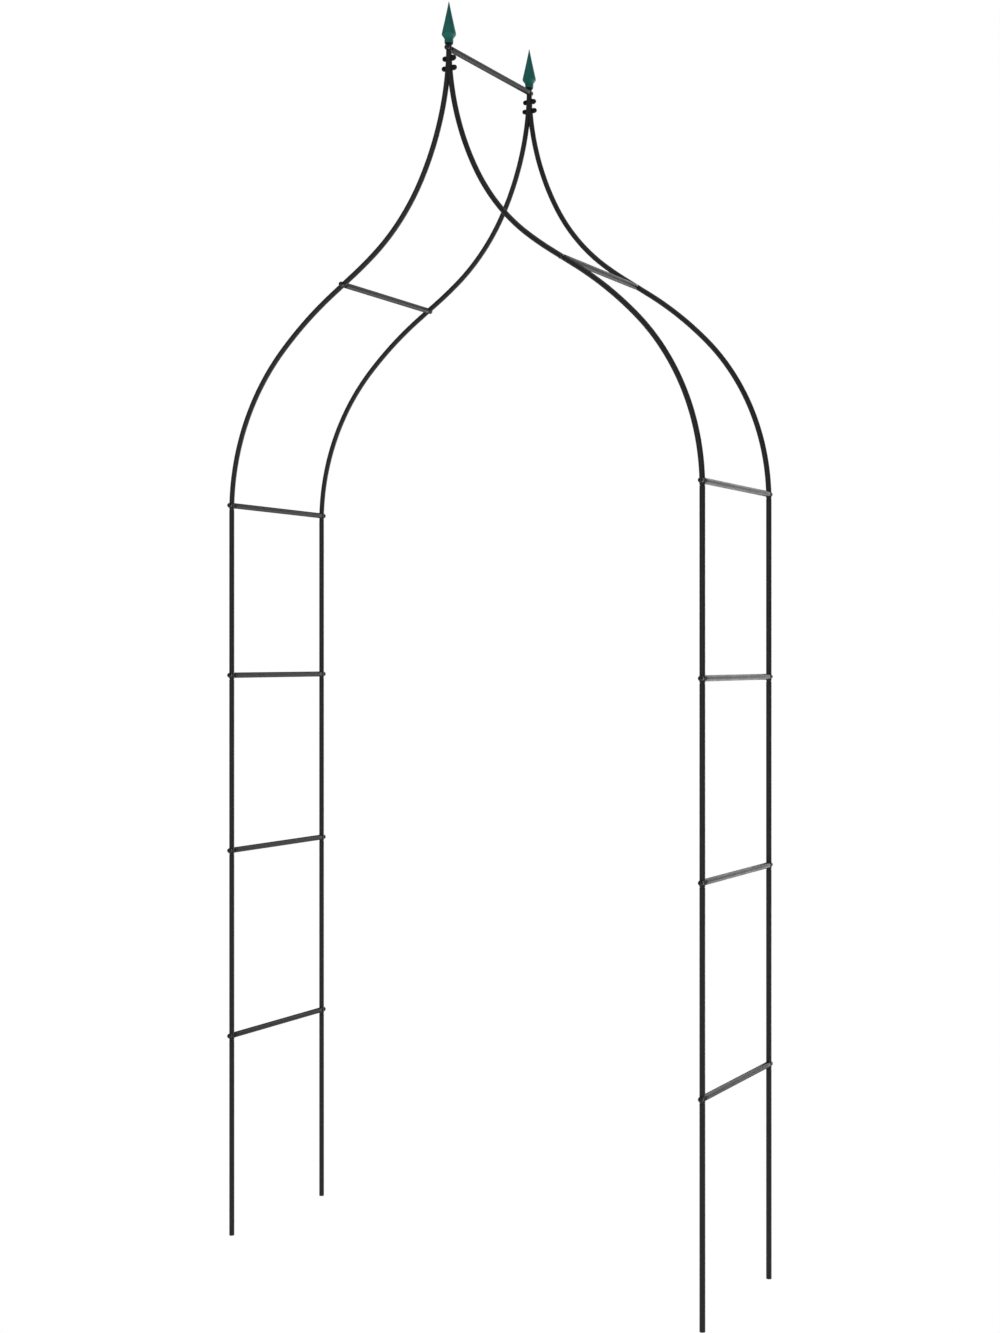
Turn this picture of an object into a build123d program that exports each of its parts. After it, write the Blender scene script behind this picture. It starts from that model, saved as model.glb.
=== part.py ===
from build123d import *
import os
from math import cos, degrees, pi, radians, sin

# Garden trellis arch: two identical ogee arches of plug-together steel tube, joined front to
# rear by a ladder of rungs up each side and one rung along the ridge, with a spear finial on
# each apex.  Millimetres, +Z up.  The origin is on the ground at the middle of the four legs,
# X runs across the walk-through width and Y through it, with the front arch at -Y.

# Overall layout
arch_width = 1112.7          # between the leg centre lines
arch_depth = 332.0           # between the planes of the two arches
leg_x = arch_width / 2
arch_y = arch_depth / 2

# Tube of the two arches
tube_diameter = 11.0
tube_wall = 1.0
tube_bore = tube_diameter - 2 * tube_wall
tube_radius = tube_diameter / 2

# Plug-in joints: the top of each section is drawn down to a spigot for the next one
joint_below_rung = 9.5       # joint line, measured down the tube from the rung's axis
spigot_length = 24.0
spigot_diameter = 8.8
spigot_bore = 7.2
neck_length = 3.0            # stretch where the full tube closes in on the spigot's bore
joint_gap = 0.9              # groove left round the tube between two sections

# Centre line of one side of an arch, from the ground up: an upright leg, a bow that leans in
# and a reverse bow that comes upright again on the middle plane (radii and turns in degrees)
upright_height = 1576.3
shoulder_radius, shoulder_turn = 480.0, 44.3
haunch_radius, haunch_turn = 800.0, 12.3
slope_length = 63.0
flare_radius, flare_turn = 790.0, 4.7
crown_radius, crown_turn = 434.0, 24.1
stem_top = 2523.0            # top of the upright stem inside the finial

# Rungs, by height up the leg, then by distance up the tube on the slope
rung_heights = [434.5, 837.8, 1219.0, 1588.5]
slope_rung_distance = upright_height + 575.5
ridge_rung_height = 2489.5
rung_diameter = 12.0
rung_bore = 10.0

# Moulded plug with a rim, pressed into each end of a rung
plug_rim = 1.0
plug_depth = 16.0
plug_diameter = 9.9
plug_bore = 5.1

# Domed rung screws, with a cross recess
screw_diameter = 5.0
screw_hole = 5.4
screw_dome_radius = 5.4
screw_head_rim = 2.0
screw_reach = 13.0           # thread beyond the tube
recess_width, recess_span, recess_depth = 1.1, 5.0, 2.6

# Apex bolts, which clamp the two halves of the stem, with cap nuts
bolt_heights = [2449.0, 2469.0]
bolt_diameter = 6.0
bolt_hole = 6.4
dome_radius = 5.2
head_rim = 3.1
nut_across_flats = 10.4
nut_hex_height = 4.9
nut_corner = nut_across_flats / (2 * cos(pi / 6))
nut_bore = 6.1
nut_bore_depth = 7.5

# Finial and the collar under it
collar_bottom = 2497.0
collar_height = 2.4
collar_diameter = 15.5
collar_chamfer = 0.5
stem_fit_bore = 11.1         # bore of the collar and of the finial's socket
finial_socket_depth = 24.6
finial_neck_diameter = 18.0
finial_neck_height = 7.8
finial_foot_chamfer = 0.6
finial_widest_diameter = 29.4
finial_widest_height = 18.2
finial_height = 84.4
finial_tip_radius = 0.7


# ---- Centre line of an arch ----

def stretches():
    """Length and turn (radians, towards the middle positive) of each stretch of the line."""
    bent = [(shoulder_radius, radians(shoulder_turn)), (haunch_radius, radians(haunch_turn))]
    leaning = [(upright_height, 0.0)]
    leaning += [(radius * turn, turn) for radius, turn in bent]
    leaning += [(slope_length, 0.0)]
    for radius, turn in ((flare_radius, radians(flare_turn)), (crown_radius, radians(crown_turn))):
        leaning.append((radius * turn, -turn))
    x, z, lean = walk(leaning, sum(length for length, turn in leaning))
    # the last bow ends upright on the middle plane, and that fixes its radius
    last_radius = x / (1 - cos(lean))
    stem_foot = z + last_radius * sin(lean)
    return leaning + [(last_radius * lean, -lean), (stem_top - stem_foot, 0.0)]


def walk(line, distance):
    """X, Z and lean of the point that lies this far along the line from the ground."""
    x, z, lean = leg_x, 0.0, 0.0
    for length, turn in line:
        step = min(distance, length)
        step_turn = turn * step / length
        chord = 2 * length / turn * sin(step_turn / 2) if turn else step
        x -= chord * sin(lean + step_turn / 2)
        z += chord * cos(lean + step_turn / 2)
        lean += step_turn
        distance -= step
        if distance <= 0:
            break
    return x, z, lean


arch_line = stretches()
line_length = sum(length for length, turn in arch_line)


def point(distance):
    x, z, lean = walk(arch_line, distance)
    return Vector(x, 0, z)


def distance_at_height(height):
    """How far up the line a height is reached, by halving."""
    low, high = 0.0, line_length
    for step in range(40):
        middle = (low + high) / 2
        if point(middle).Z < height:
            low = middle
        else:
            high = middle
    return low


rung_distances = [distance_at_height(height) for height in rung_heights]
rung_distances.append(slope_rung_distance)
ridge_distance = distance_at_height(ridge_rung_height)


# ---- Tube sections ----

def tube(start, end, outer, inner):
    """A round tube along the arch between two distances from the ground."""
    # the seam of the tube is turned away from the middle plane and from every hole
    ring = Rot(0, 0, 45) * (Circle(outer / 2) - Circle(inner / 2))
    lengths, reached = [], 0.0
    for length, turn in arch_line:
        low, high = max(start, reached), min(end, reached + length)
        reached += length
        if high - low < 0.001:
            continue
        x, z, lean = walk(arch_line, low)
        across = Plane(origin=(x, 0, z), x_dir=(0, 1, 0), z_dir=(-sin(lean), 0, cos(lean)))
        if turn:
            radius = length / turn
            centre = (x - radius * cos(lean), 0, z - radius * sin(lean))
            axis = Axis(centre, (0, -1 if turn > 0 else 1, 0))
            swing = degrees(abs(turn) * (high - low) / length)
            lengths.append(revolve(across * ring, axis, revolution_arc=swing))
        else:
            lengths.append(extrude(across * ring, high - low))
    return lengths[0].fuse(*lengths[1:]) if len(lengths) > 1 else lengths[0]


def drill_y(place, diameter):
    """A hole from front to rear through the tube."""
    return Pos(place.X, 0, place.Z) * Rot(90, 0, 0) * Cylinder(diameter / 2, 3 * tube_diameter)


def drill_x(height, diameter):
    return Pos(0, 0, height) * Rot(0, 90, 0) * Cylinder(diameter / 2, 6 * tube_diameter)


def tube_section(start, end, holes):
    """One section: a plain tube whose top closes in to the spigot of the next joint."""
    section = tube(start, end - neck_length, tube_diameter, tube_bore)
    section += tube(end - neck_length, end, tube_diameter, spigot_bore)
    section += tube(end, end + spigot_length, spigot_diameter, spigot_bore)
    for place in holes:
        section -= drill_y(place, screw_hole)
    return section


def crown_section(start):
    """The top section: halved lengthwise where it meets its twin on the middle plane."""
    section = tube(start, line_length, tube_diameter, tube_bore)
    reach = 2 * leg_x
    section -= Pos(-reach / 2, 0, stem_top) * Box(reach, 4 * tube_diameter, 2 * stem_top)
    section -= drill_y(point(start + joint_below_rung - joint_gap), screw_hole)
    section -= drill_y(point(ridge_distance), screw_hole)
    for height in bolt_heights:
        section -= drill_x(height, bolt_hole)
    return section


section_names = ["foot", "lower_leg", "middle_leg", "upper_leg", "shoulder_bow", "crown_bow"]


def right_side():
    """The six sections of one side, at y = 0 and x > 0."""
    joints = [distance - joint_below_rung for distance in rung_distances]
    sides = [tube_section(0, joints[0], [point(rung_distances[0])])]
    for number in range(1, len(joints)):
        holes = [point(distance) for distance in rung_distances[number - 1:number + 1]]
        sides.append(tube_section(joints[number - 1] + joint_gap, joints[number], holes))
    sides.append(crown_section(joints[-1] + joint_gap))
    return dict(zip(section_names, sides))


# ---- Rungs and what is in their ends ----

inner_face = arch_y - tube_radius         # where the rim of a plug touches the tube
rung_half_length = inner_face - plug_rim


def rung():
    body = Cylinder(rung_diameter / 2, 2 * rung_half_length)
    body -= Cylinder(rung_bore / 2, 2 * rung_half_length)
    return Rot(90, 0, 0) * body


def end_plug():
    """Plug at the front end of a rung: its rim faces -Y."""
    plug = Pos(0, 0, plug_rim / 2) * Cylinder(rung_diameter / 2, plug_rim)
    plug += Pos(0, 0, -plug_depth / 2) * Cylinder(plug_diameter / 2, plug_depth)
    plug -= Cylinder(plug_bore / 2, 3 * plug_depth)
    return Pos(0, -rung_half_length, 0) * Rot(90, 0, 0) * plug


def dome(radius, height):
    """A half ball standing on a flat at this height."""
    cap = Sphere(radius) - Pos(0, 0, -radius) * Box(2 * radius, 2 * radius, 2 * radius)
    return Pos(0, 0, height) * cap


def domed_head(radius, rim):
    """A round head on z = 0: a straight rim and a half ball on it."""
    return Pos(0, 0, rim / 2) * Cylinder(radius, rim) + dome(radius, rim)


def rung_screw():
    """Screw at the front end of a rung: its head stands on the outside of the front tube."""
    head = domed_head(screw_dome_radius, screw_head_rim)
    top = screw_head_rim + screw_dome_radius
    for turn in (0, 90):
        slot = Box(recess_width, recess_span, 2 * recess_depth)
        head -= Pos(0, 0, top) * Rot(0, 0, turn) * slot
    length = tube_diameter + plug_rim + screw_reach
    screw = head + Pos(0, 0, -length / 2) * Cylinder(screw_diameter / 2, length)
    return Pos(0, -arch_y - tube_radius, 0) * Rot(90, 0, 0) * screw


# ---- Apex bolts, collar and finial, all on the stem at x = 0, y = 0 ----

def seat_x(height):
    """Where a head or nut touches the outside of the leaning half stem, at its lower edge."""
    return point(distance_at_height(height - nut_corner)).X + tube_radius


def apex_bolt(height):
    seat = seat_x(height)
    length = 2 * seat + nut_bore_depth - 1
    bolt = domed_head(dome_radius, head_rim)
    bolt += Pos(0, 0, -length / 2) * Cylinder(bolt_diameter / 2, length)
    return Pos(-seat, 0, height) * Rot(0, -90, 0) * bolt


def cap_nut(height):
    nut = extrude(RegularPolygon(nut_across_flats / 2, 6, major_radius=False), nut_hex_height)
    nut += dome(dome_radius, nut_hex_height)
    nut -= Cylinder(nut_bore / 2, 2 * nut_bore_depth)
    return Pos(seat_x(height), 0, height) * Rot(0, 90, 0) * nut


def collar():
    ring = Cylinder(collar_diameter / 2, collar_height)
    ring = chamfer(ring.edges().filter_by(GeomType.CIRCLE), collar_chamfer)
    ring -= Cylinder(stem_fit_bore / 2, 2 * collar_height)
    return Pos(0, 0, collar_bottom + collar_height / 2) * ring


def finial():
    """A turned spear: straight neck, hollow flare, rounded shoulder and a long taper."""
    neck, widest = finial_neck_diameter / 2, finial_widest_diameter / 2
    chamfered = finial_foot_chamfer
    foot = Polyline((0, 0), (neck - chamfered, 0), (neck, chamfered), (neck, finial_neck_height))
    flare = Spline(
        (neck, finial_neck_height),
        (widest, finial_widest_height),
        tangents=((0, 1), (-0.08, 1)),
        tangent_scalars=(1.3, 0.9),
    )
    tip_height = finial_height - finial_tip_radius
    taper = Spline(
        (widest, finial_widest_height),
        (finial_tip_radius, tip_height),
        tangents=((-0.08, 1), (-0.2, 1)),
        tangent_scalars=(0.25, 1.0),
    )
    tip = ThreePointArc(
        (finial_tip_radius, tip_height),
        (finial_tip_radius * cos(pi / 4), tip_height + finial_tip_radius * sin(pi / 4)),
        (0, finial_height),
    )
    face = make_face(foot + flare + taper + tip + Line((0, finial_height), (0, 0)))
    body = revolve(Plane.XZ * face, Axis.Z)
    body -= Cylinder(stem_fit_bore / 2, 2 * finial_socket_depth)
    return Pos(0, 0, collar_bottom + collar_height) * body


# ---- Placing and writing ----

os.makedirs("parts", exist_ok=True)


def write(name, solids):
    shape = solids[0] if len(solids) == 1 else Compound(children=[item.solid() for item in solids])
    export_step(shape, f"parts/{name}.step")


left_of = Plane.YZ
rear_of = Plane.XZ
arch_place = {"front": -arch_y, "rear": arch_y}

for section_name, section in right_side().items():
    for arch, y in arch_place.items():
        write(f"{arch}_right_{section_name}", [Pos(0, y, 0) * section])
        write(f"{arch}_left_{section_name}", [Pos(0, y, 0) * mirror(section, left_of)])

rung_places = {}
for number, distance in enumerate(rung_distances, start=1):
    place = point(distance)
    rung_places[f"right_rung_{number}"] = Pos(place.X, 0, place.Z)
    rung_places[f"left_rung_{number}"] = Pos(-place.X, 0, place.Z)
rung_places["ridge_rung"] = Pos(0, 0, ridge_rung_height)

one_rung, front_plug, front_screw = rung(), end_plug(), rung_screw()
rear_plug, rear_screw = mirror(front_plug, rear_of), mirror(front_screw, rear_of)
for rung_name, place in rung_places.items():
    write(rung_name, [place * one_rung])
places = list(rung_places.values())
write("front_rung_plugs", [place * front_plug for place in places])
write("rear_rung_plugs", [place * rear_plug for place in places])
write("front_rung_screws", [place * front_screw for place in places])
write("rear_rung_screws", [place * rear_screw for place in places])

for arch, y in arch_place.items():
    write(f"{arch}_apex_bolts", [Pos(0, y, 0) * apex_bolt(height) for height in bolt_heights])
    write(f"{arch}_apex_nuts", [Pos(0, y, 0) * cap_nut(height) for height in bolt_heights])
    write(f"{arch}_collar", [Pos(0, y, 0) * collar()])
    write(f"{arch}_finial", [Pos(0, y, 0) * finial()])

slope_rung = point(slope_rung_distance)
print(f"slope rung at x {slope_rung.X:.1f}, z {slope_rung.Z:.1f}")
print(f"last bow radius {arch_line[-2][0] / -arch_line[-2][1]:.1f}, stem {arch_line[-1][0]:.1f} long")
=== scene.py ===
from math import ceil, cos, hypot, inf, pi, radians, sin, tan

import bpy
from mathutils import Euler, Matrix, Vector


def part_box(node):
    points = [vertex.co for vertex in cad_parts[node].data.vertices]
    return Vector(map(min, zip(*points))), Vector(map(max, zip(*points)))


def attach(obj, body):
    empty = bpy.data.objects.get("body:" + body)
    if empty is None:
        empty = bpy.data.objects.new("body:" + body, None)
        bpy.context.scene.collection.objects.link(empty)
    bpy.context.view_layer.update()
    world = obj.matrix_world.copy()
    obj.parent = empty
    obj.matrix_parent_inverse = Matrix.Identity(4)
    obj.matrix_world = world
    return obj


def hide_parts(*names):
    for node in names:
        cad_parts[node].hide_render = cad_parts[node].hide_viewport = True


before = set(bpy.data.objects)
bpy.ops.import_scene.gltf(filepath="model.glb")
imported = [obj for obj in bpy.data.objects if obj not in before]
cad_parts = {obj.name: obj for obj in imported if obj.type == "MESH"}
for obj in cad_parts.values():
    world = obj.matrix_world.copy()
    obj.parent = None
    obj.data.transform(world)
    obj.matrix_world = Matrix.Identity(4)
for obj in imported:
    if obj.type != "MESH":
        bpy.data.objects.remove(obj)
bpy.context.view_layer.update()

mm = 0.001


def linearColour(hexCode):
    # sRGB hex to the linear values that shader sockets take
    channels = [int(hexCode[i:i + 2], 16) / 255 for i in (1, 3, 5)]
    return [c / 12.92 if c <= 0.04045 else ((c + 0.055) / 1.055) ** 2.4 for c in channels] + [1.0]


def addNode(tree, kind, inputs=None, **settings):
    # one node, its settings, and a value or a link for each named input
    node = tree.nodes.new(kind)
    for name, value in settings.items():
        setattr(node, name, value)
    for key, value in (inputs or {}).items():
        if isinstance(value, bpy.types.NodeSocket):
            tree.links.new(value, node.inputs[key])
        else:
            node.inputs[key].default_value = value
    return node


def camelName(node):
    first, *others = node.split("_")
    return first + "".join(word.capitalize() for word in others)


def placed(name, data):
    piece = bpy.data.objects.new(name, data)
    bpy.context.scene.collection.objects.link(piece)
    return piece


def meshPiece(name, points, faces):
    mesh = bpy.data.meshes.new(name)
    mesh.from_pydata(points, [], faces)
    mesh.update()
    return placed(name, mesh)


def evaluatedMesh(piece):
    # the mesh as the piece's modifiers leave it
    graph = bpy.context.evaluated_depsgraph_get()
    return bpy.data.meshes.new_from_object(piece.evaluated_get(graph))


def finished(piece, coat=None, sharpAngle=38):
    if coat:
        piece.data.materials.append(coat)
    piece.data.shade_smooth()
    piece.data.set_sharp_from_angle(angle=radians(sharpAngle))
    return piece


def throughTree(source, name, tree, values):
    # runs a mesh object through a geometry tree and keeps the result as a plain mesh piece
    modifier = source.modifiers.new(tree.name, "NODES")
    modifier.node_group = tree
    for item in tree.interface.items_tree:
        if item.in_out == "INPUT" and item.name in values:
            modifier[item.identifier] = values[item.name]
    mesh = evaluatedMesh(source)
    bpy.data.objects.remove(source)
    return finished(placed(name, mesh))


def standsFor(piece, slotName, *nodes):
    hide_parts(*nodes)
    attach(piece, "root")


def rounded(corners, closed, arcStep=20):
    # (radius, height, fillet) corners to a line of points, with each fillet as a true arc
    line, count = [], len(corners)
    for i, (r, z, fillet) in enumerate(corners):
        here = Vector((r, z))
        if fillet == 0 or (not closed and i in (0, count - 1)):
            line.append(here)
            continue
        before, after = (Vector(corners[(i + k) % count][:2]) - here for k in (-1, 1))
        reach = fillet / tan(before.angle(after) / 2)
        start, end = here + before.normalized() * reach, here + after.normalized() * reach
        inward = (before.normalized() + after.normalized()).normalized()
        middle = here + inward * hypot(fillet, reach)
        arm = start - middle
        turn = arm.angle_signed(end - middle)
        steps = max(2, ceil(abs(turn) / radians(arcStep)))
        for k in range(steps + 1):
            a = -turn * k / steps
            line.append(middle + Vector((
                arm.x * cos(a) - arm.y * sin(a), arm.x * sin(a) + arm.y * cos(a))))
    return line


def withRings(line, longest, closed):
    # extra points, so that no run of an outline is longer than this
    result = []
    ends = line[1:] + line[:1] if closed else line[1:]
    for a, b in zip(line, ends):
        parts = max(1, ceil((b - a).length / longest))
        result += [a.lerp(b, k / parts) for k in range(parts)]
    return result if closed else result + [line[-1]]


def domeLine(radius, foot, steps):
    # quarter circle from the foot of a dome to its top, on the axis
    return [Vector((radius * cos(pi / 2 * k / steps), foot + radius * sin(pi / 2 * k / steps)))
            for k in range(1, steps)] + [Vector((0, foot + radius))]


def hermite(start, startPull, end, endPull, steps):
    # cubic curve between two points with a pull at each end
    result = []
    for k in range(steps + 1):
        t = k / steps
        a, b = 2 * t ** 3 - 3 * t ** 2 + 1, t ** 3 - 2 * t ** 2 + t
        c, d = -2 * t ** 3 + 3 * t ** 2, t ** 3 - t ** 2
        result.append(a * start + b * startPull + c * end + d * endPull)
    return result


def turned(name, line, closed=False, segments=48, halfFlats=None, attributes=None):
    # revolves an outline about Z; halfFlats trims it to a hexagon;
    # attributes are functions of (r, z)
    onAxis, sixth = 1e-7, pi / 3
    points, faces, kept, rings = [], [], [], []
    for r, z in line:
        count = 1 if r < onAxis else segments
        rings.append((len(points), count))
        for k in range(count):
            a, reach = 2 * pi * k / segments, r
            if halfFlats is not None:
                reach = min(r, halfFlats / cos((a + sixth / 2) % sixth - sixth / 2))
            points.append((reach * cos(a), reach * sin(a), z))
            kept.append((r, z))
    nextRings = rings[1:] + (rings[:1] if closed else [])
    for (low, lowCount), (high, highCount) in zip(rings, nextRings):
        for k in range(segments):
            n = (k + 1) % segments
            face = [low + k % lowCount, low + n % lowCount,
                    high + n % highCount, high + k % highCount]
            faces.append([v for i, v in enumerate(face) if v not in face[:i]])
    piece = meshPiece(name, points, [face for face in faces if len(face) > 2])
    for label, value in (attributes or {}).items():
        values = [value(r, z) for r, z in kept]
        piece.data.attributes.new(label, "FLOAT", "POINT").data.foreach_set("value", values)
    return piece


# which way each word points: front and rear along Y, left and right along X
signOf = {"front": -1, "rear": 1, "left": -1, "right": 1}
facing = {   # turns that bring a part's Z to face each way
    "front": Euler((pi / 2, 0, 0)),
    "rear": Euler((-pi / 2, 0, 0)),
    "left": Euler((0, -pi / 2, 0)),
    "right": Euler((0, pi / 2, 0)),
}
archSides = [(arch, side) for arch in ("front", "rear") for side in ("left", "right")]
sideRungs = range(1, 6)
rungNames = [f"{side}_rung_{n}" for side in ("left", "right") for n in sideRungs] + ["ridge_rung"]


def middleOf(node):
    low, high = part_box(node)
    return (low + high) / 2


# sizes read from the frame, so that the visual parts sit on the CAD ones
footLow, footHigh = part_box("front_right_foot")
ridgeLow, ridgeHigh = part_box("ridge_rung")
legX = middleOf("front_right_foot").x
archY = middleOf("rear_right_foot").y
tubeRadius = (footHigh.x - footLow.x) / 2
rungRadius = (ridgeHigh.z - ridgeLow.z) / 2
rungHalf = ridgeHigh.y
rungCentres = [middleOf(name) for name in rungNames]

# centre line of one side, from the ground up: metres, and degrees of lean gained (+ to the middle)
archLine = {
    "upright": 1.5763,
    "bows": [(0.480, 44.3), (0.800, 12.3), (0.063, 0), (0.790, -4.7), (0.434, -24.1)],
    "stemTop": 2.523,
    "sampleEvery": 0.004,
    "halvings": 40,              # of the search for a height along the line
}


def walk(line, distance):
    x, z, lean = legX, 0.0, 0.0
    for length, turn in line:
        step = min(distance, length)
        stepTurn = turn * step / length
        chord = 2 * length / turn * sin(stepTurn / 2) if turn else step
        x -= chord * sin(lean + stepTurn / 2)
        z += chord * cos(lean + stepTurn / 2)
        lean += stepTurn
        distance -= step
        if distance <= 0:
            break
    return x, z, lean


def archStretches():
    line = [(archLine["upright"], 0.0)]
    for size, turn in archLine["bows"]:
        line.append((size * radians(abs(turn)), radians(turn)) if turn else (size, 0.0))
    x, z, lean = walk(line, inf)
    lastRadius = x / (1 - cos(lean))     # the last bow comes upright on the middle plane
    stem = archLine["stemTop"] - z - lastRadius * sin(lean)
    return line + [(lastRadius * lean, -lean), (stem, 0.0)]


stretches = archStretches()
lineLength = sum(length for length, _ in stretches)


def distanceAt(height):
    low, high = 0.0, lineLength
    for _ in range(archLine["halvings"]):
        middle = (low + high) / 2
        if walk(stretches, middle)[1] < height:
            low = middle
        else:
            high = middle
    return low


def makeArchCurves():
    # four poly splines, one for each side of each arch, in the order of archSides
    curve = bpy.data.curves.new("archCurves", "CURVE")
    curve.dimensions = "3D"
    count = ceil(lineLength / archLine["sampleEvery"])
    for arch, side in archSides:
        spline = curve.splines.new("POLY")
        spline.points.add(count)
        for k in range(count + 1):
            x, z, _ = walk(stretches, lineLength * k / count)
            spline.points[k].co = (signOf[side] * x, signOf[arch] * archY, z, 1)
    return placed("archCurves", curve)


noiseBand = {"tone": (0.35, 0.65), "roughness": (0.3, 0.7)}   # middle of a noise, spread out fully


def startMaterial(name):
    material = bpy.data.materials.new(name)
    material.use_nodes = True
    material.node_tree.nodes.clear()
    return material, material.node_tree


def closeMaterial(tree, surface):
    addNode(tree, "ShaderNodeOutputMaterial", {"Surface": surface.outputs[0]})


def objectPlace(tree):
    return addNode(tree, "ShaderNodeTexCoord").outputs["Object"]


def noiseOf(tree, place, look):
    # a noise with about one feature in each "every"; the rest are the node's own inputs
    inputs = {key: value for key, value in look.items() if key != "every"}
    return addNode(tree, "ShaderNodeTexNoise", {
        "Vector": place, "Scale": 1 / look["every"], **inputs}).outputs["Fac"]


def spread(tree, value, band, low=0.0, high=1.0):
    return addNode(tree, "ShaderNodeMapRange", {
        "Value": value, "From Min": band[0], "From Max": band[1],
        "To Min": low, "To Max": high}).outputs["Result"]


def blend(tree, share, first, second):
    return addNode(tree, "ShaderNodeMix", {
        0: share, 6: first, 7: second}, data_type="RGBA").outputs[2]


def tonedBy(tree, clouds, dark, pale):
    share = spread(tree, clouds, noiseBand["tone"])
    return blend(tree, share, linearColour(dark), linearColour(pale))


def bumpOf(tree, height, distance, strength, **more):
    return addNode(tree, "ShaderNodeBump", {
        "Height": height, "Distance": distance, "Strength": strength, **more}).outputs[0]


def closeCloudy(tree, colour, clouds, roughness, drift, specular, normal):
    # the roughness drifts with the same clouds as the colour
    rough = spread(
        tree, clouds, noiseBand["roughness"], roughness + drift[0], roughness + drift[1])
    closeMaterial(tree, addNode(tree, "ShaderNodeBsdfPrincipled", {
        "Base Color": colour, "Roughness": rough,
        "Specular IOR Level": specular, "Normal": normal}))


powderCoat = {
    "mottle": {"every": 38 * mm, "Detail": 3.0, "Roughness": 0.6},   # slow drift of tone
    "peel": {"every": 1.7 * mm, "Detail": 1.0},      # orange peel of a baked coat
    "grain": {"every": 0.35 * mm, "Detail": 2.0},    # fine satin grain of the powder
    "chips": {"every": 2.2 * mm, "Detail": 4.0, "Roughness": 0.65},
    "peelHeight": 0.09 * mm,
    "grainHeight": 0.006 * mm,
    "bumpStrength": 0.6,
    "roughDrift": (-0.04, 0.05),
    "wearReach": 14 * mm,        # rubbed stretch at the plug-in ends
    "wearGain": 0.16,            # added to the noise of the chips at the very mouth
    "chipLevel": (0.76, 0.79),   # above this the primer shows
    "chipColour": "#55575b",     # zinc primer under the coat
}


def powderCoatedSteel(name, dark, pale, roughness, specular):
    # Satin polyester powder coat, baked on: nearly black, a soft sheen and a faint orange peel,
    # with pinhead chips down to the primer where the sections are pushed together
    look = powderCoat
    material, tree = startMaterial(name)
    place = objectPlace(tree)
    mottle = noiseOf(tree, place, look["mottle"])
    coat = tonedBy(tree, mottle, dark, pale)
    # chips: the nearer the mouth of a section, the more of a fine noise counts as chipped
    fromEnd = addNode(tree, "ShaderNodeAttribute", attribute_name="fromEnd").outputs["Fac"]
    nearEnd = spread(tree, fromEnd, (0.0, look["wearReach"]), look["wearGain"], 0.0)
    worn = addNode(tree, "ShaderNodeMath", {
        0: noiseOf(tree, place, look["chips"]), 1: nearEnd}, operation="ADD")
    chipped = spread(tree, worn.outputs[0], look["chipLevel"])
    colour = blend(tree, chipped, coat, linearColour(look["chipColour"]))
    peel = bumpOf(
        tree, noiseOf(tree, place, look["peel"]), look["peelHeight"], look["bumpStrength"])
    grain = bumpOf(
        tree, noiseOf(tree, place, look["grain"]), look["grainHeight"], look["bumpStrength"],
        Normal=peel)
    closeCloudy(tree, colour, mottle, roughness, look["roughDrift"], specular, grain)
    return material


blackFinish = {
    "cloud": {"every": 5 * mm, "Detail": 4.0, "Roughness": 0.6},
    "grain": {"every": 0.5 * mm, "Detail": 3.0},     # matt tooth of the plating or the mould
    "grainHeight": 0.012 * mm,
    "bumpStrength": 0.5,
    "roughDrift": (-0.05, 0.06),
}


def blackFinished(name, dark, pale, roughness, specular):
    # a small black part: cloudy near-black colour over a fine matt tooth
    look = blackFinish
    material, tree = startMaterial(name)
    place = objectPlace(tree)
    cloud = noiseOf(tree, place, look["cloud"])
    grain = bumpOf(
        tree, noiseOf(tree, place, look["grain"]), look["grainHeight"], look["bumpStrength"])
    colour = tonedBy(tree, cloud, dark, pale)
    closeCloudy(tree, colour, cloud, roughness, look["roughDrift"], specular, grain)
    return material


finialPlastic = {
    "deep": "#175e56",
    "bright": "#1c6960",
    "flow": {"every": 22 * mm, "Detail": 4.0, "Distortion": 0.4},    # soft streaks of the flow
    "flowStretch": 0.3,          # the streaks are drawn out upwards
    "tooth": {"every": 0.6 * mm, "Detail": 3.0},
    "toothHeight": 0.035 * mm,
    "bumpStrength": 0.5,
    "roughness": 0.46,
    "roughDrift": (-0.04, 0.05),
    "specular": 0.18,
}


def mouldedTealPlastic(name):
    # Injection-moulded polypropylene, dyed through: deep teal green, a satin skin from a sparked
    # mould, and faint upright streaks where the plastic flowed
    look = finialPlastic
    material, tree = startMaterial(name)
    place = objectPlace(tree)
    drawn = addNode(tree, "ShaderNodeMapping", {
        "Vector": place, "Scale": (1, 1, look["flowStretch"])})
    flow = noiseOf(tree, drawn.outputs[0], look["flow"])
    tooth = bumpOf(
        tree, noiseOf(tree, place, look["tooth"]), look["toothHeight"], look["bumpStrength"])
    colour = tonedBy(tree, flow, look["deep"], look["bright"])
    closeCloudy(
        tree, colour, flow, look["roughness"], look["roughDrift"], look["specular"], tooth)
    return material


# name, dark tone, pale tone, roughness, specular level
archCoat = powderCoatedSteel("anthracitePowderCoatedSteel", "#232326", "#29292c", 0.40, 0.2)
rungCoat = powderCoatedSteel("anthracitePowderCoatedRung", "#222326", "#28292c", 0.35, 0.12)
# dull, almost no sheen
plugNylon = blackFinished("blackMouldedNylon", "#080808", "#0d0d0d", 0.55, 0.2)
# an oily shine on the dome of the screws, less on the bolts and nuts
screwBlack = blackFinished("blackPlatedScrew", "#0b0b0c", "#131314", 0.30, 0.45)
boltBlack = blackFinished("blackPlatedBolt", "#070708", "#0d0d0e", 0.36, 0.15)
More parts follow.
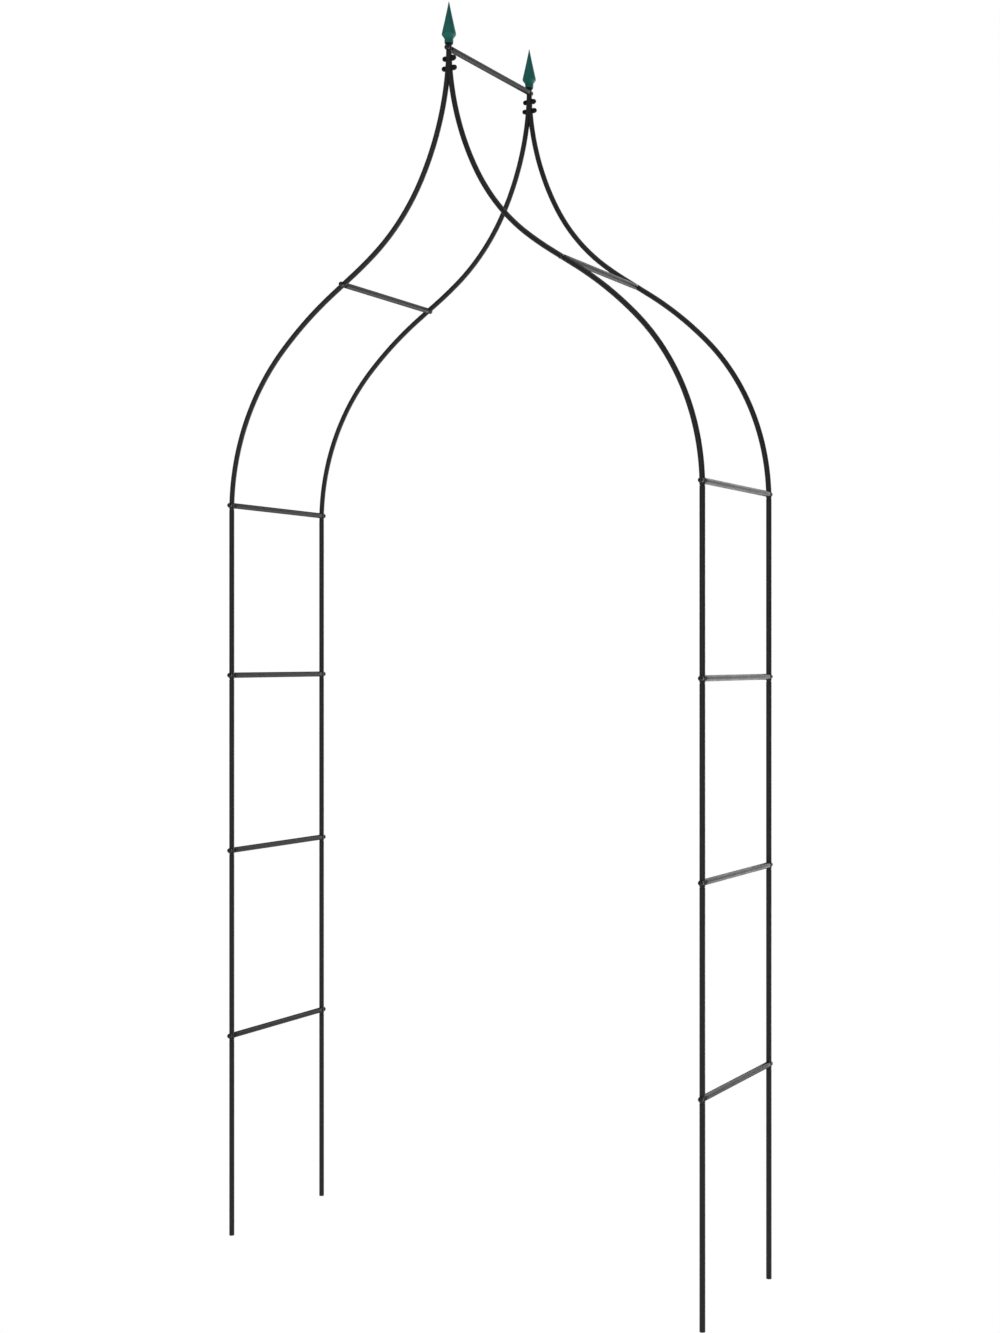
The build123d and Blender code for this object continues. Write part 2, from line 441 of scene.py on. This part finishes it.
# black, with a painted green reflection of the finial above it
collarBlackPaintedGreenReflection = blackFinished("blackCollarPaintedGreenReflection", "#070d0c", "#0c1513", 0.5, 0.15)
finialTeal = mouldedTealPlastic("tealMouldedPolypropylene")
print("materials ready")


def startTree(name, sockets):
    # a geometry tree with geometry in and out and further inputs: {name: socket type}
    tree = bpy.data.node_groups.new(name, "GeometryNodeTree")
    for way in ("OUTPUT", "INPUT"):
        tree.interface.new_socket(
            name="Geometry", in_out=way, socket_type="NodeSocketGeometry")
    for label, kind in sockets.items():
        tree.interface.new_socket(name=label, in_out="INPUT", socket_type="NodeSocket" + kind)
    return tree, tree.nodes.new("NodeGroupInput").outputs


def closeTree(tree, geometry, material):
    real = addNode(tree, "GeometryNodeRealizeInstances", {"Geometry": geometry})
    coated = addNode(tree, "GeometryNodeSetMaterial", {
        "Geometry": real.outputs[0], "Material": material})
    addNode(tree, "NodeGroupOutput", {0: coated.outputs[0]})
    return tree


def bendTree():
    # wraps an upright mesh round one of the arch curves: its Z becomes distance along the curve.
    # Near the middle plane the wall is pressed flat against the twin tube, and the mesh's skin
    # attribute is the distance that it keeps from the plane
    tree, given = startTree("bendAlongArch", {
        "Arch Curves": "Object", "Curve": "Int", "Side": "Float", "Coat": "Material"})
    curves = addNode(tree, "GeometryNodeObjectInfo", {"Object": given["Arch Curves"]})
    position = addNode(tree, "GeometryNodeInputPosition")
    place = addNode(tree, "ShaderNodeSeparateXYZ", {0: position.outputs[0]})
    sample = addNode(tree, "GeometryNodeSampleCurve", {
        "Curves": curves.outputs["Geometry"], "Length": place.outputs["Z"],
        "Curve Index": given["Curve"]}, mode="LENGTH")
    outward = addNode(tree, "ShaderNodeVectorMath", {
        0: (0, 1, 0), 1: sample.outputs["Tangent"]}, operation="CROSS_PRODUCT")
    across = addNode(tree, "ShaderNodeVectorMath", {
        0: outward.outputs[0], "Scale": place.outputs["X"]}, operation="SCALE")
    through = addNode(tree, "ShaderNodeCombineXYZ", {"Y": place.outputs["Y"]})
    offset = addNode(tree, "ShaderNodeVectorMath", {0: across.outputs[0], 1: through.outputs[0]})
    bent = addNode(tree, "ShaderNodeVectorMath", {
        0: sample.outputs["Position"], 1: offset.outputs[0]})
    parts = addNode(tree, "ShaderNodeSeparateXYZ", {0: bent.outputs[0]})
    skin = addNode(tree, "GeometryNodeInputNamedAttribute", {"Name": "skin"}, data_type="FLOAT")
    onSide = addNode(tree, "ShaderNodeMath", {
        0: parts.outputs["X"], 1: given["Side"]}, operation="MULTIPLY")
    pressed = addNode(tree, "ShaderNodeMath", {
        0: onSide.outputs[0], 1: skin.outputs["Attribute"]}, operation="MAXIMUM")
    back = addNode(tree, "ShaderNodeMath", {
        0: pressed.outputs[0], 1: given["Side"]}, operation="MULTIPLY")
    final = addNode(tree, "ShaderNodeCombineXYZ", {
        "X": back.outputs[0], "Y": parts.outputs["Y"], "Z": parts.outputs["Z"]})
    moved = addNode(tree, "GeometryNodeSetPosition", {
        "Geometry": given["Geometry"], "Position": final.outputs[0]})
    return closeTree(tree, moved.outputs[0], given["Coat"])


def fastenerTree():
    # sets one part at every point of a mesh, its Z turned to Facing, spun at random about its axis
    tree, given = startTree("setAtPoints", {
        "Part": "Object", "Facing": "Rotation", "Spin": "Float", "Seed": "Int",
        "Finish": "Material"})
    part = addNode(tree, "GeometryNodeObjectInfo", {"Object": given["Part"]})
    spin = addNode(tree, "FunctionNodeRandomValue", {
        2: 0.0, 3: given["Spin"], "Seed": given["Seed"]}, data_type="FLOAT")
    about = addNode(tree, "ShaderNodeCombineXYZ", {"Z": spin.outputs[1]})
    turn = addNode(tree, "FunctionNodeEulerToRotation", {0: about.outputs[0]})
    rotation = addNode(tree, "FunctionNodeRotateRotation", {
        "Rotation": given["Facing"], "Rotate By": turn.outputs[0]}, rotation_space="LOCAL")
    copies = addNode(tree, "GeometryNodeInstanceOnPoints", {
        "Points": given["Geometry"], "Instance": part.outputs["Geometry"],
        "Rotation": rotation.outputs[0]})
    return closeTree(tree, copies.outputs[0], given["Finish"])


bendAlongArch = bendTree()
setAtPoints = fastenerTree()
print("geometry trees ready")


section = {
    "names": ["foot", "lower_leg", "middle_leg", "upper_leg", "shoulder_bow", "crown_bow"],
    "belowRung": 9.5 * mm,       # joint line, down the tube from the rung
    "gap": 0.9 * mm,             # groove at the joint
    "wall": 1.0 * mm,
    "mouthFillet": 0.35 * mm,    # rolled-in edge of the cut end
    "shoulderFillet": 0.9 * mm,  # where the tube is drawn down to the spigot
    "neck": 3 * mm,              # inside, half of the length of the drawn-down taper
    "spigotRadius": 4.4 * mm,
    "spigotWall": 0.8 * mm,
    "spigotLength": 24 * mm,
    "spigotFootFillet": 0.3 * mm,
    "spigotBoreFillet": 0.2 * mm,
    "skin": 0.03 * mm,           # left between the outside and the middle plane at the apex
    "outsideBore": 0.2 * mm,     # this far outside the bore, a point is on the outside
    "ringEvery": 7 * mm,
    "around": 48,
}


def sectionMesh(name, start, end, last):
    bore = tubeRadius - section["wall"]
    lip = section["mouthFillet"]
    endFillet = lip if last else section["shoulderFillet"]
    outside = [(tubeRadius, start, lip), (tubeRadius, end, endFillet)]
    if last:
        inside = [(bore, end, lip), (bore, start, lip)]
    else:
        spigot = section["spigotRadius"]
        spigotBore = spigot - section["spigotWall"]
        top = end + section["spigotLength"]
        outside += [(spigot, end, section["spigotFootFillet"]), (spigot, top, lip)]
        inside = [(spigotBore, top, section["spigotBoreFillet"]),
                  (spigotBore, end - section["neck"], 0),
                  (bore, end - 2 * section["neck"], 0), (bore, start, lip)]
    line = withRings(rounded(outside + inside, True), section["ringEvery"], True)
    outsideFrom = bore + section["outsideBore"]
    return turned(name, line, closed=True, segments=section["around"], attributes={
        "fromEnd": lambda r, z: min(z - start, abs(end - z), powderCoat["wearReach"]),
        "skin": lambda r, z: section["skin"] if r > outsideFrom else section["wall"]})


def makeSections(curves):
    rungDistances = [distanceAt(middleOf(f"right_rung_{n}").z) for n in sideRungs]
    joints = [distance - section["belowRung"] for distance in rungDistances]
    starts = [0.0] + [joint + section["gap"] for joint in joints]
    ends = joints + [lineLength]
    for curveNumber, (arch, side) in enumerate(archSides):
        for sectionName, start, end in zip(section["names"], starts, ends):
            node = f"{arch}_{side}_{sectionName}"
            straight = sectionMesh("straight", start, end, sectionName == section["names"][-1])
            piece = throughTree(straight, camelName(node), bendAlongArch, {
                "Arch Curves": curves, "Curve": curveNumber,
                "Side": float(signOf[side]), "Coat": archCoat})
            standsFor(piece, "arch_tube", node)


archCurves = makeArchCurves()
makeSections(archCurves)
bpy.data.objects.remove(archCurves)
print("24 tube sections bent")


rung = {
    "bore": 5.0 * mm,
    "endFillet": 0.4 * mm,
    "ringEvery": 12 * mm,
    "around": 48,
}


def makeRungs():
    fillet = rung["endFillet"]
    line = rounded([(rungRadius, -rungHalf, fillet), (rungRadius, rungHalf, fillet),
                    (rung["bore"], rungHalf, fillet), (rung["bore"], -rungHalf, fillet)], True)
    line = withRings(line, rung["ringEvery"], True)
    for node, centre in zip(rungNames, rungCentres):
        piece = turned(camelName(node), line, closed=True, segments=rung["around"],
                       attributes={"fromEnd": lambda r, z: rungHalf - abs(z)})
        piece.data.transform(facing["front"].to_matrix().to_4x4())
        piece.data.transform(Matrix.Translation(centre))
        standsFor(finished(piece, rungCoat), "rung_tube", node)


plug = {
    "rim": 1.0 * mm,             # flange between the rung and the arch tube
    "rimFillet": 0.25 * mm,
    "backFillet": 0.1 * mm,
    "bodyRadius": 4.95 * mm,
    "depth": 16 * mm,
    "endFillet": 0.8 * mm,
    "bore": 2.55 * mm,
}


def plugPart():
    look = plug
    line = rounded([
        (look["bore"], look["rim"], 0), (rungRadius, look["rim"], look["rimFillet"]),
        (rungRadius, 0, look["backFillet"]), (look["bodyRadius"], 0, 0),
        (look["bodyRadius"], -look["depth"], look["endFillet"]),
        (look["bore"], -look["depth"], 0)], True)
    # the outline runs downwards, so it is turned round for its faces to look outward
    return finished(turned("plugPart", line[::-1], closed=True), plugNylon)


rungScrew = {
    "radius": 5.4 * mm,
    "rim": 2.0 * mm,
    "rimFillet": 0.3 * mm,
    "domeSteps": 10,
    "shank": 2.5 * mm,
    "length": 24 * mm,           # under the head, with a blunt point
    "pointLength": 2 * mm,
    "pointShare": 0.4,           # radius of the blunt point against the shank
    "pointFillet": 0.5 * mm,
    "recessSpan": 5.0 * mm,      # cross recess across its wings
    "recessWidth": 1.1 * mm,
    "recessDepth": 2.6 * mm,
    "recessTaper": 0.45,         # size of its floor against its mouth
}


def crossCutter(look, top):
    # a tapered cross, sunk from a height of top, to cut a driver recess
    a, b = look["recessSpan"] / 2, look["recessWidth"] / 2
    depth, taper = look["recessDepth"], look["recessTaper"]
    outline = [(b, a), (-b, a), (-b, b), (-a, b), (-a, -b), (-b, -b),
               (-b, -a), (b, -a), (b, -b), (a, -b), (a, b), (b, b)]
    points = [(x, y, top + depth) for x, y in outline]
    points += [(x * taper, y * taper, top - depth) for x, y in outline]
    count = len(outline)
    faces = [tuple(range(count)), tuple(reversed(range(count, 2 * count)))]
    faces += [(k, k + count, (k + 1) % count + count, (k + 1) % count) for k in range(count)]
    return meshPiece("crossCutter", points, faces)


def carved(part, cutter):
    cut = part.modifiers.new("recess", "BOOLEAN")
    cut.operation, cut.solver, cut.object = "DIFFERENCE", "EXACT", cutter
    mesh = evaluatedMesh(part)
    for used in (part, cutter):
        bpy.data.objects.remove(used)
    return placed("carved", mesh)


def screwPart():
    # stands on z = 0, the outside of the tube, with its shank below
    look = rungScrew
    line = rounded([
        (0, -look["length"], 0), (look["pointShare"] * look["shank"], -look["length"], 0),
        (look["shank"], -look["length"] + look["pointLength"], look["pointFillet"]),
        (look["shank"], 0, 0), (look["radius"], 0, look["rimFillet"]),
        (look["radius"], look["rim"], 0)], False)
    line += domeLine(look["radius"], look["rim"], look["domeSteps"])
    cutter = crossCutter(look, look["rim"] + look["radius"])
    return finished(carved(finished(turned("screw", line), screwBlack), cutter))


apexBolt = {
    "radius": 5.2 * mm,
    "rim": 3.1 * mm,
    "rimFillet": 0.35 * mm,
    "domeSteps": 12,
    "shank": 3.0 * mm,
    "chamfer": 0.5 * mm,
    "shortOfBore": 1 * mm,       # left free at the bottom of the cap nut's bore
}


def boltPart(length):
    look, ease = apexBolt, apexBolt["chamfer"]
    line = rounded([
        (0, -length, 0), (look["shank"] - ease, -length, 0), (look["shank"], -length + ease, 0),
        (look["shank"], 0, 0), (look["radius"], 0, look["rimFillet"]),
        (look["radius"], look["rim"], 0)], False)
    line += domeLine(look["radius"], look["rim"], look["domeSteps"])
    return finished(turned("boltPart", line), boltBlack)


capNut = {
    "halfFlats": 5.2 * mm,
    "hex": 4.9 * mm,
    "chamfer": 0.5 * mm,
    "crownShare": 0.6,           # height of the chamfer under the dome against the lower one
    "crownFillet": 0.15 * mm,
    "domeSteps": 12,
    "bore": 3.05 * mm,
    "boreDepth": 7.5 * mm,
    "boreCone": 1 * mm,
    "spin": 0.9,                 # radians that the hexagons are turned by, at most
    "ringEvery": 0.35 * mm,
    "around": 72,
}
nutCorner = capNut["halfFlats"] / cos(pi / 6)


def nutPart():
    look, ease = capNut, capNut["chamfer"]
    inside = [
        (0, look["boreDepth"], 0), (look["bore"], look["boreDepth"] - look["boreCone"], 0),
        (look["bore"], ease, 0), (look["bore"] + ease, 0, 0)]
    outside = [
        (nutCorner - ease, 0, 0), (nutCorner, ease, 0),
        (nutCorner, look["hex"] - look["crownShare"] * ease, 0),
        (look["halfFlats"], look["hex"], look["crownFillet"])]
    line = rounded(inside + outside, False)
    # rings only on the outside, where the hexagon trims them
    bored = len(inside)
    line = line[:bored] + withRings(line[bored:], look["ringEvery"], False)
    line += domeLine(look["halfFlats"], look["hex"], look["domeSteps"])
    nut = turned("nutPart", line, segments=look["around"], halfFlats=look["halfFlats"])
    return finished(nut, boltBlack)


# first random seed of each kind; the rear arch takes the next one
seedOf = {"plugs": 3, "screws": 13, "bolts": 23, "nuts": 33}


def setParts(node, part, places, way, spin, seed, finish, slotName):
    mesh = bpy.data.meshes.new("places")
    mesh.from_pydata(places, [], [])
    piece = throughTree(placed("places", mesh), camelName(node), setAtPoints, {
        "Part": part, "Facing": facing[way], "Spin": spin, "Seed": seed, "Finish": finish})
    standsFor(piece, slotName, node)


def makeFasteners():
    plugMoulding, screw = plugPart(), screwPart()
    for index, arch in enumerate(("front", "rear")):
        way = signOf[arch]
        setParts(arch + "_rung_plugs", plugMoulding,
                 [(c.x, way * rungHalf, c.z) for c in rungCentres],
                 arch, 2 * pi, seedOf["plugs"] + index, plugNylon, "plug")
        setParts(arch + "_rung_screws", screw,
                 [(c.x, way * (archY + tubeRadius), c.z) for c in rungCentres],
                 arch, 2 * pi, seedOf["screws"] + index, screwBlack, "screw")
        low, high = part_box(arch + "_apex_nuts")
        levels = [low.z + nutCorner, high.z - nutCorner]
        # the heads and nuts stand off the leaning tubes, touching them by their lower rims
        seats = [walk(stretches, distanceAt(z - nutCorner))[0] + tubeRadius for z in levels]
        bolt = boltPart(2 * min(seats) + capNut["boreDepth"] - apexBolt["shortOfBore"])
        nut = nutPart()
        setParts(arch + "_apex_bolts", bolt, [(-s, way * archY, z) for s, z in zip(seats, levels)],
                 "left", 2 * pi, seedOf["bolts"] + index, boltBlack, "bolt")
        setParts(arch + "_apex_nuts", nut, [(s, way * archY, z) for s, z in zip(seats, levels)],
                 "right", capNut["spin"], seedOf["nuts"] + index, boltBlack, "bolt")
        for part in (bolt, nut):
            bpy.data.objects.remove(part)
    for part in (plugMoulding, screw):
        bpy.data.objects.remove(part)


makeRungs()
makeFasteners()
print("rungs, plugs, screws, bolts and nuts in place")


collar = {
    "bore": 5.55 * mm,
    "fillet": 0.6 * mm,
    "boreFillet": 0.2 * mm,
    "around": 64,
}


def makeCollar(arch):
    low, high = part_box(arch + "_collar")
    outer = (high.x - low.x) / 2
    line = rounded([(outer, low.z, collar["fillet"]), (outer, high.z, collar["fillet"]),
                    (collar["bore"], high.z, collar["boreFillet"]),
                    (collar["bore"], low.z, collar["boreFillet"])], True)
    # the collar's black carries a painted green reflection of the finial above it
    piece = finished(
        turned(arch + "Collar", line, closed=True, segments=collar["around"]), collarBlackPaintedGreenReflection)
    piece.data.transform(Matrix.Translation((0, (low.y + high.y) / 2, 0)))
    standsFor(piece, "collar", arch + "_collar")


finial = {
    "neckRadius": 9.0 * mm,
    "neckHeight": 7.8 * mm,
    "footFillet": 0.6 * mm,
    "flarePull": (0, 9.5 * mm),          # how long the neck stays straight before it flares
    "shoulderHeight": 18.2 * mm,
    "shoulderPull": (-0.5 * mm, 7 * mm),
    "flareSteps": 16,
    "bladePull": (-0.8 * mm, 9 * mm),    # how the shoulder rolls over into the long taper
    "bladeSteps": 48,
    "tipSlope": (-0.18, 1),
    "tipRadius": 0.7 * mm,
    "tipSteps": 5,
    "socketRadius": 5.55 * mm,
    "socketDepth": 24.6 * mm,
    "socketFillet": 0.3 * mm,
    "partingRidge": 0.22 * mm,           # mould line down the front and the back
    "partingHalfWidth": 0.02,            # as a share of the radius there
    "partingOutside": 1 * mm,            # it starts this far out from the socket
    "partingInside": 0.3 * mm,           # and stops this far in from the widest ring
    "ringEvery": 2 * mm,
    "around": 96,
}


def finialLine(widest, height):
    look = finial
    neckTop = Vector((look["neckRadius"], look["neckHeight"]))
    shoulder = Vector((widest, look["shoulderHeight"]))
    tip = Vector((look["tipRadius"], height - look["tipRadius"]))
    line = rounded([
        (0, look["socketDepth"], 0), (look["socketRadius"], look["socketDepth"], 0),
        (look["socketRadius"], 0, look["socketFillet"]),
        (look["neckRadius"], 0, look["footFillet"]), (neckTop.x, neckTop.y, 0)], False)
    line = withRings(line, look["ringEvery"], False)
    line += hermite(neckTop, Vector(look["flarePull"]), shoulder,
                    Vector(look["shoulderPull"]), look["flareSteps"])[1:]
    line += hermite(shoulder, Vector(look["bladePull"]), tip,
                    Vector(look["tipSlope"]).normalized() * (tip - shoulder).length,
                    look["bladeSteps"])[1:]
    return line + domeLine(look["tipRadius"], tip.y, look["tipSteps"])


def makeFinial(arch):
    look = finial
    low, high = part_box(arch + "_finial")
    widest = (high.x - low.x) / 2
    piece = turned(arch + "Finial", finialLine(widest, high.z - low.z), segments=look["around"])
    inner, outer = look["socketRadius"] + look["partingOutside"], widest - look["partingInside"]
    for vertex in piece.data.vertices:
        # the parting line stands a hair proud where the two mould halves met
        r = hypot(vertex.co.x, vertex.co.y)
        if inner < r < outer and abs(vertex.co.x) < look["partingHalfWidth"] * r:
            vertex.co.y *= (r + look["partingRidge"]) / r
    piece.data.transform(Matrix.Translation((0, (low.y + high.y) / 2, low.z)))
    standsFor(finished(piece, finialTeal), "finial", arch + "_finial")


for archName in ("front", "rear"):
    makeCollar(archName)
    makeFinial(archName)
print("collars and finials in place")


cameraSet = {
    "place": (1.9149, -3.2496, 1.2603),
    "turn": 30.21,               # degrees to the left of straight through the arch
    "lens": 48.47,
    "sensor": 36,
    "shiftY": -0.00767,
    "clip": (0.05, 200),
}


def makeCamera():
    data = bpy.data.cameras.new("camera")
    data.lens, data.sensor_width, data.sensor_fit = cameraSet["lens"], cameraSet["sensor"], "AUTO"
    data.shift_y = cameraSet["shiftY"]
    data.clip_start, data.clip_end = cameraSet["clip"]
    camera = placed("camera", data)
    camera.location = cameraSet["place"]
    camera.rotation_euler = (pi / 2, 0, radians(cameraSet["turn"]))
    bpy.context.scene.camera = camera


studio = {
    "white": "#ffffff",
    "backdrop": 1.0,             # what the camera sees behind and below the arch
    "surround": 0.26,            # even light of the room
    "floorSize": 120.0,
    "floor": "#f4f4f2",
    "floorRoughness": 0.8,
    "floorSpecular": 0.1,
    "floorGlow": 0.44,
    # a pool of light on the floor behind the arch
    "pool": {"place": (1.5, 3.6, 0.0), "core": 1.1, "edge": 2.6, "glow": 3.5},
    # name: place, aimed at, width, height, brightness, all in metres and radiance
    "panels": {
        "backPanel": ((1.0, 4.8, 2.3), (1.0, 0.0, 2.3), 3.4, 4.0, 3.0),
        "upperPanel": ((0.9, 4.8, 5.4), (0.9, 0.0, 4.0), 3.2, 2.4, 1.2),
        "topPanel": ((0.0, -0.5, 5.5), (0.0, 0.0, 1.2), 3.5, 3.5, 1.0),
        "frontPanel": ((1.6, -6.0, 1.8), (0.0, 0.0, 1.3), 3.4, 3.4, 1.5),
    },
}


def seenAs(tree, kind, colour, strength, lit):
    # looked at directly it is overexposed to plain white; light and reflections get the lit one
    plain = addNode(tree, kind, {"Color": colour, "Strength": strength})
    seen = addNode(tree, "ShaderNodeLightPath")
    return addNode(tree, "ShaderNodeMixShader", {
        0: seen.outputs["Is Camera Ray"], 1: lit.outputs[0], 2: plain.outputs[0]})


def makeFloor():
    half = studio["floorSize"] / 2
    floor = meshPiece(
        "floor", [(-half, -half, 0), (half, -half, 0), (half, half, 0), (-half, half, 0)],
        [(0, 1, 2, 3)])
    material, tree = startMaterial("paleStudioFloor")
    pale, pool = linearColour(studio["floor"]), studio["pool"]
    away = addNode(tree, "ShaderNodeVectorMath", {
        0: objectPlace(tree), 1: pool["place"]}, operation="DISTANCE")
    glow = addNode(tree, "ShaderNodeMapRange", {
        "Value": away.outputs["Value"], "From Min": pool["core"], "From Max": pool["edge"],
        "To Min": pool["glow"], "To Max": studio["floorGlow"]}, interpolation_type="SMOOTHSTEP")
    lit = addNode(tree, "ShaderNodeBsdfPrincipled", {
        "Base Color": pale, "Roughness": studio["floorRoughness"],
        "Specular IOR Level": studio["floorSpecular"],
        "Emission Color": pale, "Emission Strength": glow.outputs["Result"]})
    white = linearColour(studio["white"])
    closeMaterial(tree, seenAs(tree, "ShaderNodeEmission", white, studio["backdrop"], lit))
    floor.data.materials.append(material)


def makeRoom():
    world = bpy.data.worlds.new("paleRoom")
    world.use_nodes = True
    tree = world.node_tree
    tree.nodes.clear()
    white = linearColour(studio["white"])
    room = addNode(tree, "ShaderNodeBackground", {
        "Color": white, "Strength": studio["surround"]})
    shown = seenAs(tree, "ShaderNodeBackground", white, studio["backdrop"], room)
    addNode(tree, "ShaderNodeOutputWorld", {"Surface": shown.outputs[0]})
    bpy.context.scene.world = world


def makePanels():
    for name, (place, target, width, height, brightness) in studio["panels"].items():
        data = bpy.data.lights.new(name, "AREA")
        data.shape, data.size, data.size_y = "RECTANGLE", width, height
        data.energy = brightness * pi * width * height
        panel = placed(name, data)
        panel.location = place
        aim = Vector(target) - Vector(place)
        panel.rotation_euler = aim.to_track_quat("-Z", "Y").to_euler()
        panel.visible_camera = False


makeCamera()
makeFloor()
makeRoom()
makePanels()
bpy.context.scene.view_settings.view_transform = "Standard"
print("camera, floor and light set")
